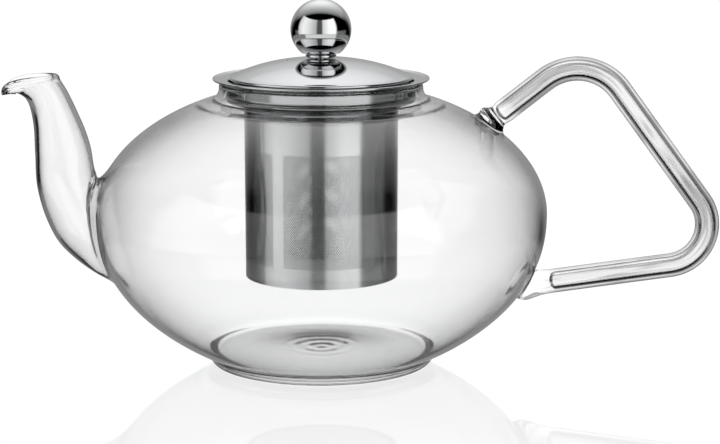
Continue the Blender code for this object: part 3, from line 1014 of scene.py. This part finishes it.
def make_skirt(steel):
    """The ring under the dome."""
    inner = SKIRT_RADIUS - SHEET
    top = lid_height(SKIRT_RADIUS) - LID_SHEET - GAP
    roll = (SKIRT_RADIUS - SHEET / 2, SKIRT_BOTTOM + SHEET / 2)
    profile = [(SKIRT_RADIUS, top)] + arc(roll, SHEET / 2, 0, -180, 6) + [(inner, top)]
    return turned("steel_skirt", profile, steel)


def make_ball(chrome):
    """The ball, flat underneath, with the screw's blind hole."""
    flat_angle = math.degrees(math.asin((BALL_FLAT_Z - BALL_Z) / BALL_RADIUS))
    profile = arc((0, BALL_Z), BALL_RADIUS, 90, flat_angle, 48)
    profile[0] = (0, BALL_Z + BALL_RADIUS)
    hole_end = SCREW_TIP_Z + GAP
    profile += [(BORE_RADIUS, BALL_FLAT_Z), (BORE_RADIUS, hole_end), (0, hole_end)]
    return turned("knob", profile, chrome, steps=128, closed=False)


def make_bead(chrome):
    """The small round bead between ball and dome."""
    top = BALL_FLAT_Z - GAP
    low = LID_APEX_Z + 0.15 * MM
    middle = (top + low) / 2
    half = (top - low) / 2
    profile = arc((COLLAR_RING_RADIUS - half, middle), half, 80, -80, 10)
    profile += [(BORE_RADIUS, low + 0.15 * MM), (BORE_RADIUS, top)]
    return turned("bead", profile, chrome, steps=96)


def make_screw(steel):
    """The pan-head screw with a crossed recess in its head."""
    under = LID_APEX_Z - LID_SHEET
    head_top = under - WASHER_THICKNESS - 2 * GAP
    head_low = head_top - HEAD_HEIGHT
    profile = [(0, SCREW_TIP_Z), (SCREW_RADIUS, SCREW_TIP_Z), (SCREW_RADIUS, head_top),
               (HEAD_RADIUS, head_top)]
    profile += arc((HEAD_RADIUS - HEAD_BEND, head_low + HEAD_BEND), HEAD_BEND, 0, -90, 6)
    profile.append((0, head_low))
    screw = turned("screw", profile, steel, steps=64, closed=False)
    for size in ((RECESS_SPAN, RECESS_WIDTH), (RECESS_WIDTH, RECESS_SPAN)):
        shape = bmesh.new()
        bmesh.ops.create_cube(shape, size=1.0)
        bmesh.ops.scale(shape, vec=(*size, RECESS_DEPTH * 2), verts=shape.verts)
        bmesh.ops.translate(shape, vec=(0, 0, head_low), verts=shape.verts)
        cut_away(screw, new_object("recess", mesh_of(shape, "recess"), None))
    return screw


def make_washer(steel):
    """The flat washer over the screw's head."""
    top = lid_height(WASHER_RADIUS) - LID_SHEET - GAP
    low = top - WASHER_THICKNESS + 0.1 * MM
    soft = 0.15 * MM
    profile = [(BORE_RADIUS, top), (WASHER_RADIUS - soft, top), (WASHER_RADIUS, top - soft),
               (WASHER_RADIUS, low + soft), (WASHER_RADIUS - soft, low), (BORE_RADIUS, low)]
    return turned("washer", profile, steel, steps=64)


# ---- studio -------------------------------------------------------------------
# Brightness by direction round the pot in degrees: 0 is at the camera, 90 at the handle.
SOFT_BOXES = [(-180, 0.0), (-96, 0.0), (-88, 0.8), (-70, 1.15), (-50, 1.0), (-18, 0.55), (-12, 0.1),
              (4, 0.1), (9, 0.8), (34, 1.3), (58, 1.3), (66, 0.0), (180, 0.0)]
LOW_SIDES = [(-180, 0.0), (-116, 0.0), (-100, 0.18), (-92, 0.3), (-88, 0.0), (62, 0.0), (68, 0.3),
             (72, 0.18), (104, 0.16), (114, 0.0), (180, 0.0)]
TABLE_AHEAD = [(-180, 0.3), (-66, 0.3), (-58, 1.0), (58, 1.0), (66, 0.3), (180, 0.3)]
# Brightness by height in degrees: -90 is straight down, 90 is straight up.
BOX_HEIGHTS = [(-14, 0.0), (-13, 1.0), (38, 1.0), (41, 0.0)]
LOW_HEIGHTS = [(-14, 0.0), (-13, 1.0), (-6, 1.0), (-2, 0.0)]
TABLE_HEIGHTS = [(-90, 0.0), (-50, 0.02), (-33, 0.1), (-30, 0.8), (-15, 0.8), (-13, 0.0)]
CEILING_HEIGHTS = [(0, 0.1), (30, 1.0)]
SKY_HEIGHTS = [(-90, 1.12), (22, 1.12), (45, 0.8), (90, 0.5)]
# Brightness by closeness to one direction behind the pot, whose height comes first.
BACKDROP = (35, [(0.45, 0.0), (0.6, 0.06), (0.66, 0.22), (0.71, 0.32), (0.82, 0.38), (0.91, 0.48),
                 (0.966, 0.68), (1.0, 0.85)])
CEILING = (52, [(0.44, 0.0), (0.5, 0.14), (0.6, 0.32), (0.75, 0.5), (0.86, 0.72), (0.93, 0.92),
                (1.0, 1.2)])


class Room:
    """Brightness of the room by direction, as nodes of the world."""

    def __init__(self, tree):
        self.tree = tree
        self.way = node(tree, "TexCoord").outputs["Generated"]
        split = node(tree, "SeparateXYZ", {"Vector": self.way}).outputs
        front = maths(tree, "MULTIPLY", split["Y"], -1.0)
        turn = maths(tree, "ARCTAN2", split["X"], front)
        lift = maths(tree, "ARCSINE", split["Z"])
        self.turn = between(tree, turn, -math.pi, math.pi)
        self.lift = between(tree, lift, -math.pi / 2, math.pi / 2)

    def by_turn(self, stops):
        return ramp(self.tree, self.turn, [((angle + 180) / 360, value) for angle, value in stops])

    def by_height(self, stops):
        return ramp(self.tree, self.lift, [((angle + 90) / 180, value) for angle, value in stops])

    def by_closeness(self, height, stops):
        tilt = math.radians(height)
        centre = vectors(self.tree, "DOT_PRODUCT", self.way, (0, math.cos(tilt), math.sin(tilt)))
        return ramp(self.tree, centre.outputs["Value"], stops)

    def product(self, first, second):
        return maths(self.tree, "MULTIPLY", first, second)


def studio_world():
    """White all round to the eye; what shines sees a dark room with soft boxes."""
    world = bpy.data.worlds.new("studio")
    bpy.context.scene.world = world
    world.use_nodes = True
    tree = world.node_tree
    tree.nodes.clear()
    room = Room(tree)
    boxes = room.product(room.by_turn(SOFT_BOXES), room.by_height(BOX_HEIGHTS))
    sides = room.product(room.by_turn(LOW_SIDES), room.by_height(LOW_HEIGHTS))
    table = room.product(room.by_turn(TABLE_AHEAD), room.by_height(TABLE_HEIGHTS))
    ceiling = room.product(room.by_closeness(*CEILING), room.by_height(CEILING_HEIGHTS))
    far = maths(tree, "MAXIMUM", room.by_closeness(*BACKDROP), ceiling)
    total = maths(tree, "ADD", maths(tree, "ADD", boxes, table), maths(tree, "ADD", sides, far))

    path = node(tree, "LightPath").outputs
    direct = maths(tree, "LESS_THAN", path["Glossy Depth"], 0.5)
    outside_glass = maths(tree, "LESS_THAN", path["Transmission Depth"], 0.5)
    mirrored = maths(tree, "MULTIPLY", path["Is Singular Ray"], outside_glass)
    plain = maths(tree, "MAXIMUM", direct, mirrored)
    white = mix_numbers(tree, outside_glass, room.by_height(SKY_HEIGHTS), 1.0)
    strength = mix_numbers(tree, plain, total, white)
    light = node(tree, "Background", {"Color": (1, 1, 1, 1), "Strength": strength})
    node(tree, "OutputWorld", {"Surface": light.outputs["Background"]})
    world.cycles.sampling_method = "NONE"  # lamps can't tell these paths apart


FLOOR_GLOW = 0.93
FLOOR_GLOW_THROUGH_GLASS = 1.1
FLOOR_SHINE = 0.24
FLOOR_RADIUS = 3.0
FLOOR_DROP = 0.2 * MM


def floor_material():
    """A glossy white table top that fades into the background."""
    material, tree, _ = new_material("white_table")
    path = node(tree, "LightPath").outputs
    through = maths(tree, "GREATER_THAN", path["Transmission Depth"], 0.5)
    level = between(tree, through, 0.0, 1.0, FLOOR_GLOW, FLOOR_GLOW_THROUGH_GLASS)
    glow = node(tree, "Emission", {"Strength": level})
    matt = node(tree, "BsdfDiffuse", {"Color": (0.2, 0.2, 0.2, 1)})
    both = node(tree, "AddShader", {0: glow.outputs[0], 1: matt.outputs[0]})
    mirror = node(tree, "BsdfAnisotropic", {"Roughness": 0.0})
    fresnel = node(tree, "Fresnel", {"IOR": 1.5})
    shine = maths(tree, "MINIMUM", fresnel.outputs[0], FLOOR_SHINE)
    top = mix_shaders(tree, shine, both.outputs[0], mirror.outputs[0])
    hidden = maths(tree, "GREATER_THAN", path["Glossy Depth"], 0.5)
    clear = node(tree, "BsdfTransparent")
    surface = mix_shaders(tree, hidden, top, clear.outputs[0])
    feed(tree, tree.nodes["Material Output"], {"Surface": surface})
    return material


def make_floor():
    """A round table top, larger than any view shows."""
    shape = bmesh.new()
    bmesh.ops.create_circle(shape, cap_ends=True, segments=96, radius=FLOOR_RADIUS)
    floor = new_object("table", mesh_of(shape, "table"), floor_material())
    floor.location.z = -FLOOR_DROP
    floor.visible_glossy = False
    return floor


CAMERA_PLACE = (14.7 * MM, -850 * MM, 210 * MM)
CAMERA_TILT = 79.6
CAMERA_LENS = 113.14


def make_camera():
    data = bpy.data.cameras.new("camera")
    data.sensor_width = 36
    data.lens = CAMERA_LENS
    camera = bpy.data.objects.new("camera", data)
    bpy.context.scene.collection.objects.link(camera)
    camera.location = CAMERA_PLACE
    camera.rotation_euler = (math.radians(CAMERA_TILT), 0, 0)
    bpy.context.scene.camera = camera


def main():
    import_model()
    make_camera()
    studio_world()
    make_floor()

    polished = steel_material("polished_steel", *POLISHED)
    satin = steel_material("satin_steel", *SATIN)
    # Steel for the strainer's panels, with painted shade on their inner faces.
    pierced_painted_shade = steel_material("pierced_steel_painted_shade", *SATIN, inside=STRAINER_RADIUS - 0.05 * MM)
    chrome = steel_material("bright_steel", *CHROME)

    pot = make_glass(glass_material())
    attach(pot, "pot")
    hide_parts("glass_body", "glass_spout", "glass_handle",
                "handle_weld_upper", "handle_weld_lower")

    pieces = [
        (make_infuser_rim(polished), "infuser", "infuser_rim", "polished_steel"),
        (make_strainer_sheet(satin), "infuser", "strainer_wall", "strainer_steel"),
        (make_strainer_base(satin), "infuser", "strainer_base", "strainer_steel"),
        (make_lid(polished), "lid", "lid_cover", "polished_steel"),
        (make_skirt(polished), "lid", "lid_skirt", "polished_steel"),
        (make_ball(chrome), "lid", "knob_ball", "knob_steel"),
        (make_bead(chrome), "lid", "knob_collar", "knob_steel"),
        (make_screw(satin), "lid", "knob_screw", "strainer_steel"),
        (make_washer(satin), "lid", "knob_washer", "strainer_steel"),
    ]
    for index in range(PANELS):
        pieces.append((make_panel(index, pierced_painted_shade), "infuser", "strainer_wall", "strainer_steel"))
    for item, body, cad_node, slot in pieces:
        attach(item, body)
        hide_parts(cad_node)

    scene = bpy.context.scene
    scene.view_settings.view_transform = "Standard"
    scene.cycles.max_bounces = 24
    scene.cycles.glossy_bounces = 8
    scene.cycles.transmission_bounces = 24


main()
